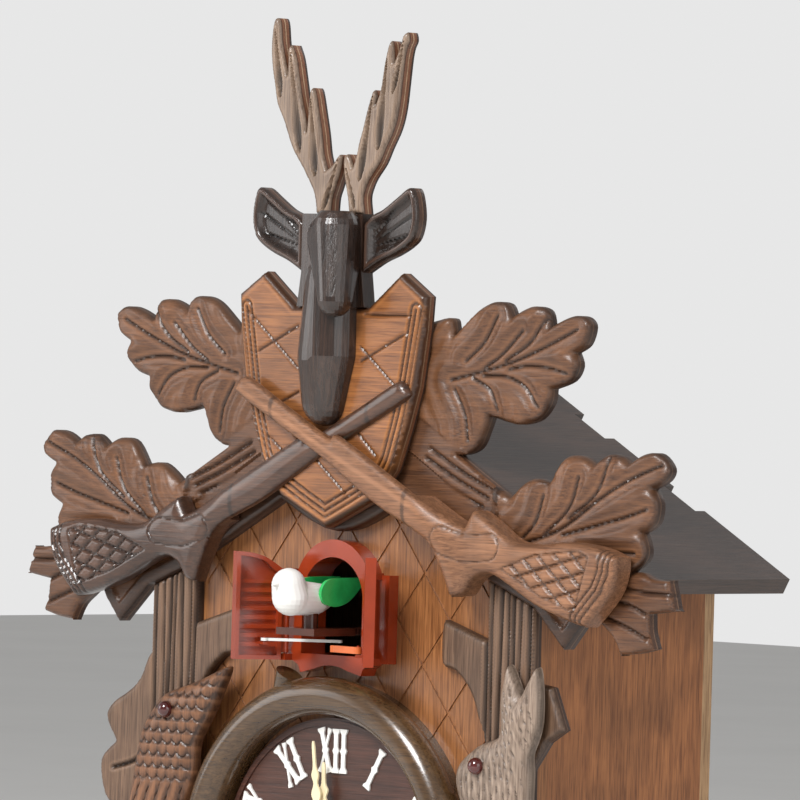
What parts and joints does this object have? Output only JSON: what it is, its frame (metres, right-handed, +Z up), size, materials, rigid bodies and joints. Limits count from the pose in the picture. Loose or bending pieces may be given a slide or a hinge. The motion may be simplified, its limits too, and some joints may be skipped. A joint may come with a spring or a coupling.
{
  "type": "cuckoo clock",
  "caption": "Hunting-style wall cuckoo clock with carved leaves, crossed rifles, stag head, round dial, sliding cuckoo behind two doors, and a pendulum.",
  "frame": {"origin": "centre of the round hanger hole, on the flat back of the case", "axes": "+Y into the wall, +Z up along the height, +X to the right as seen from the front; the dial faces -Y"},
  "size_m": [0.3762, 0.1531, 0.5555],
  "materials": {
    "front_veneer": "satin vertical grain",
    "side_veneer": "satin veneer",
    "roof_wood": "dark stained satin",
    "inner_wood": "plain unfinished",
    "leaf_wood": "carved, stained walnut, dark edges",
    "shield_wood": "satin, horizontal grain",
    "light_rifle_wood": "pale satin",
    "dark_rifle_wood": "dark gloss",
    "stag_brown": "dark gloss stain",
    "antler_wood": "pale plywood face with red-brown edge",
    "post_wood": "carved grey-brown",
    "game_wood": "carved, pale",
    "eye_glass": "glossy dark red",
    "horn_wood": "glossy olive brown",
    "dial_brown": "fine-grained, satin",
    "white_plastic": "matte",
    "cream_plastic": "matte",
    "black_plastic": "matte",
    "grey_plastic": "matte",
    "red_plastic": "gloss",
    "orange_plastic": "matte",
    "wing_green": "translucent green",
    "steel": "zinc plated",
    "brass": "turned",
    "copper_coil": "enamelled copper wire",
    "board_green": "solder mask",
    "cell_sleeve": "plain printed sleeve, no text"
  },
  "bodies": {
    "case": {"case_front": "front_veneer", "case_side_left": "side_veneer", "case_side_right": "side_veneer", "case_bottom": "inner_wood", "back_board": "inner_wood", "back_cover": "black_plastic", "roof_left": "roof_wood", "roof_right": "roof_wood", "corner_blocks": "inner_wood", "hanger_plate": "steel", "screws": "steel", "gable_board": "leaf_wood", "shield": "shield_wood", "rifle_front": "light_rifle_wood", "rifle_rear": "dark_rifle_wood", "stag_head": "stag_brown", "antler_left": "antler_wood", "antler_right": "antler_wood", "ear_left": "stag_brown", "ear_right": "stag_brown", "post_left": "post_wood", "post_right": "post_wood", "game_bird": "game_wood", "hare": "game_wood", "glass_eyes": "eye_glass", "horn_ring": "horn_wood", "base_carving": "leaf_wood", "dial": "dial_brown", "numerals": "white_plastic", "movement_case": "black_plastic", "movement_cover": "black_plastic", "panel_nut": "brass", "stepper_coil": "copper_coil", "door_frame": "red_plastic", "mechanism_bracket": "grey_plastic", "drive_motor": "steel", "battery_box": "black_plastic", "batteries": "cell_sleeve", "circuit_board": "board_green", "speaker_frame": "grey_plastic", "speaker_cone": "black_plastic"},
    "minute_train": {"minute_arbor": "steel", "minute_hand": "cream_plastic", "hand_nut": "brass", "setting_knob": "black_plastic"},
    "motion_train": {"motion_wheel": "white_plastic"},
    "hour_train": {"hour_wheel": "white_plastic", "hour_hand": "cream_plastic"},
    "left_leaf": {"door_left": "red_plastic"},
    "right_leaf": {"door_right": "red_plastic"},
    "cuckoo_carriage": {"carriage": "white_plastic", "cuckoo_body": "white_plastic", "cuckoo_wings": "wing_green"},
    "left_link": {"link_left": "white_plastic"},
    "right_link": {"link_right": "orange_plastic"},
    "pinion": {"drive_pinion": "white_plastic"},
    "battery_door": {"battery_cover": "black_plastic"},
    "switch_slider": {"mode_switch": "black_plastic"},
    "pendulum": {"pendulum_rod": "dark_rifle_wood", "pendulum_bob": "leaf_wood"}
  },
  "joints": [
    {"name": "minute_turn", "type": "hinge", "parent": "case", "child": "minute_train", "pos_m": [0, -0.1, -0.176], "axis": [0, 1, 0], "continuous": true},
    {"name": "motion_turn", "type": "hinge", "parent": "case", "child": "motion_train", "pos_m": [0.015, -0.094, -0.176], "axis": [0, 1, 0], "continuous": true},
    {"name": "hour_turn", "type": "hinge", "parent": "case", "child": "hour_train", "pos_m": [0, -0.1, -0.176], "axis": [0, 1, 0], "continuous": true},
    {"name": "cuckoo_slide", "type": "slide", "parent": "case", "child": "cuckoo_carriage", "axis": [0, 1, 0], "range_m": [0, 0.04]},
    {"name": "left_door_swing", "type": "hinge", "parent": "case", "child": "left_leaf", "pos_m": [-0.024, -0.11925, -0.075], "axis": [0, 0, 1], "range_deg": [0, 115]},
    {"name": "right_door_swing", "type": "hinge", "parent": "case", "child": "right_leaf", "pos_m": [0.024, -0.11925, -0.075], "axis": [0, 0, -1], "range_deg": [0, 134]},
    {"name": "left_link_swing", "type": "hinge", "parent": "left_leaf", "child": "left_link", "pos_m": [-0.02484, -0.13099, -0.0814], "axis": [0, 0, -1], "range_deg": [0, 70]},
    {"name": "right_link_swing", "type": "hinge", "parent": "right_leaf", "child": "right_link", "pos_m": [0.02862, -0.13008, -0.085], "axis": [0, 0, 1], "range_deg": [0, 54]},
    {"name": "drive_turn", "type": "hinge", "parent": "case", "child": "pinion", "pos_m": [0.0076, -0.066, -0.0765], "axis": [0, 0, -1], "range_deg": [0, 637]},
    {"name": "battery_cover_swing", "type": "hinge", "parent": "case", "child": "battery_door", "pos_m": [0, -0.0015, -0.1967], "axis": [-1, 0, 0], "range_deg": [0, 95]},
    {"name": "mode_switch_slide", "type": "slide", "parent": "case", "child": "switch_slider", "axis": [1, 0, 0], "range_m": [0, 0.008]},
    {"name": "pendulum_swing", "type": "hinge", "parent": "case", "child": "pendulum", "pos_m": [0, -0.07, -0.128], "axis": [0, 1, 0], "range_deg": [-5, 5]}
  ],
  "couplings": [
    {"joint": "motion_turn", "follows": "minute_turn", "ratio": -0.33333},
    {"joint": "hour_turn", "follows": "minute_turn", "ratio": 0.083333},
    {"joint": "left_door_swing", "follows": "cuckoo_slide", "rad_per_m": 50.178},
    {"joint": "right_door_swing", "follows": "cuckoo_slide", "rad_per_m": 58.468},
    {"joint": "left_link_swing", "follows": "cuckoo_slide", "rad_per_m": 30.543},
    {"joint": "right_link_swing", "follows": "cuckoo_slide", "rad_per_m": 23.562},
    {"joint": "drive_turn", "follows": "cuckoo_slide", "rad_per_m": 277.78}
  ]
}
